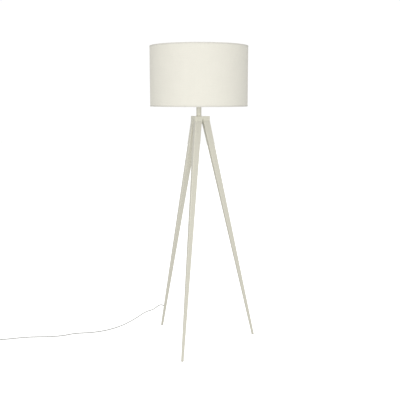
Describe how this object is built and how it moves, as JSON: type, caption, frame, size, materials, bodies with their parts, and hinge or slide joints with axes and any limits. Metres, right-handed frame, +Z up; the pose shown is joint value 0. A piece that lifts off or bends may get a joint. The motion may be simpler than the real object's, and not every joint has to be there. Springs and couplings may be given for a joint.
{
  "type": "tripod floor lamp",
  "caption": "Floor lamp with tapered triangular metal legs under a triangular hub, a short round stem and a fabric drum shade, with its mains lead.",
  "frame": {"origin": "on the stem's axis, at the floor", "axes": "+Z up along the stem; the lamp faces -Y"},
  "size_m": [1.4172, 0.5609, 1.5],
  "materials": {
    "powder_coat": "satin warm grey powder coat",
    "hub_coat": "satin warm grey powder coat on a casting",
    "zinc_steel": "bright zinc plate",
    "foot_plastic": "fine matt",
    "holder_plastic": "fine matt moulding",
    "ceramic": "glazed",
    "brass": "satin",
    "nickel": "satin nickel plate",
    "knob_plastic": "satin",
    "opal_glass": "opal",
    "black_glass": "gloss",
    "solder": "dull",
    "linen": "plain weave linen",
    "hem_tape": "woven tape",
    "liner_sheet": "matt white sheet",
    "white_wire": "white enamel",
    "lead_sheath": "soft matt",
    "plug_plastic": "fine matt",
    "bush_rubber": "matt",
    "tie_paper": "coated"
  },
  "bodies": {
    "lamp": {"hub_cap": "hub_coat", "mounting_plate": "zinc_steel", "leg_front": "powder_coat", "leg_right": "powder_coat", "leg_left": "powder_coat", "leg_insert_front": "zinc_steel", "leg_insert_right": "zinc_steel", "leg_insert_left": "zinc_steel", "foot_pad_front": "foot_plastic", "foot_pad_right": "foot_plastic", "foot_pad_left": "foot_plastic", "leg_bolts": "zinc_steel", "leg_washers": "zinc_steel", "threaded_rod": "zinc_steel", "rod_washer": "zinc_steel", "rod_nut": "zinc_steel", "stem_tube": "powder_coat", "stem_bush": "foot_plastic", "stem_cap": "powder_coat", "stem_lock_nut": "zinc_steel", "holder_base": "holder_plastic", "holder_body": "holder_plastic", "holder_insert": "ceramic", "terminal_screws": "brass", "screw_shell": "nickel", "centre_contact": "brass", "shade_clamp_ring": "holder_plastic", "bulb_glass": "opal_glass", "bulb_cap": "nickel", "bulb_insulator": "black_glass", "bulb_contact": "solder", "inner_lead": "lead_sheath", "lead_bush": "bush_rubber", "strain_relief": "plug_plastic", "cord": "lead_sheath", "cord_tail": "lead_sheath", "cord_coil": "lead_sheath", "coil_tie": "tie_paper", "plug_body": "plug_plastic", "plug_pins": "nickel"},
    "shade": {"shade_fabric": "linen", "shade_liner": "liner_sheet", "shade_spider": "white_wire", "shade_top_wire": "white_wire", "shade_top_hem": "hem_tape", "shade_bottom_hem": "hem_tape"},
    "switch": {"switch_knob": "knob_plastic", "switch_spindle": "brass"}
  },
  "joints": [
    {"name": "shade_turn", "type": "hinge", "parent": "lamp", "child": "shade", "pos_m": [0, 0, 1.255], "axis": [0, 0, 1], "continuous": true},
    {"name": "switch_turn", "type": "hinge", "parent": "lamp", "child": "switch", "pos_m": [0.0195, 0, 1.243], "axis": [1, 0, 0], "continuous": true}
  ]
}
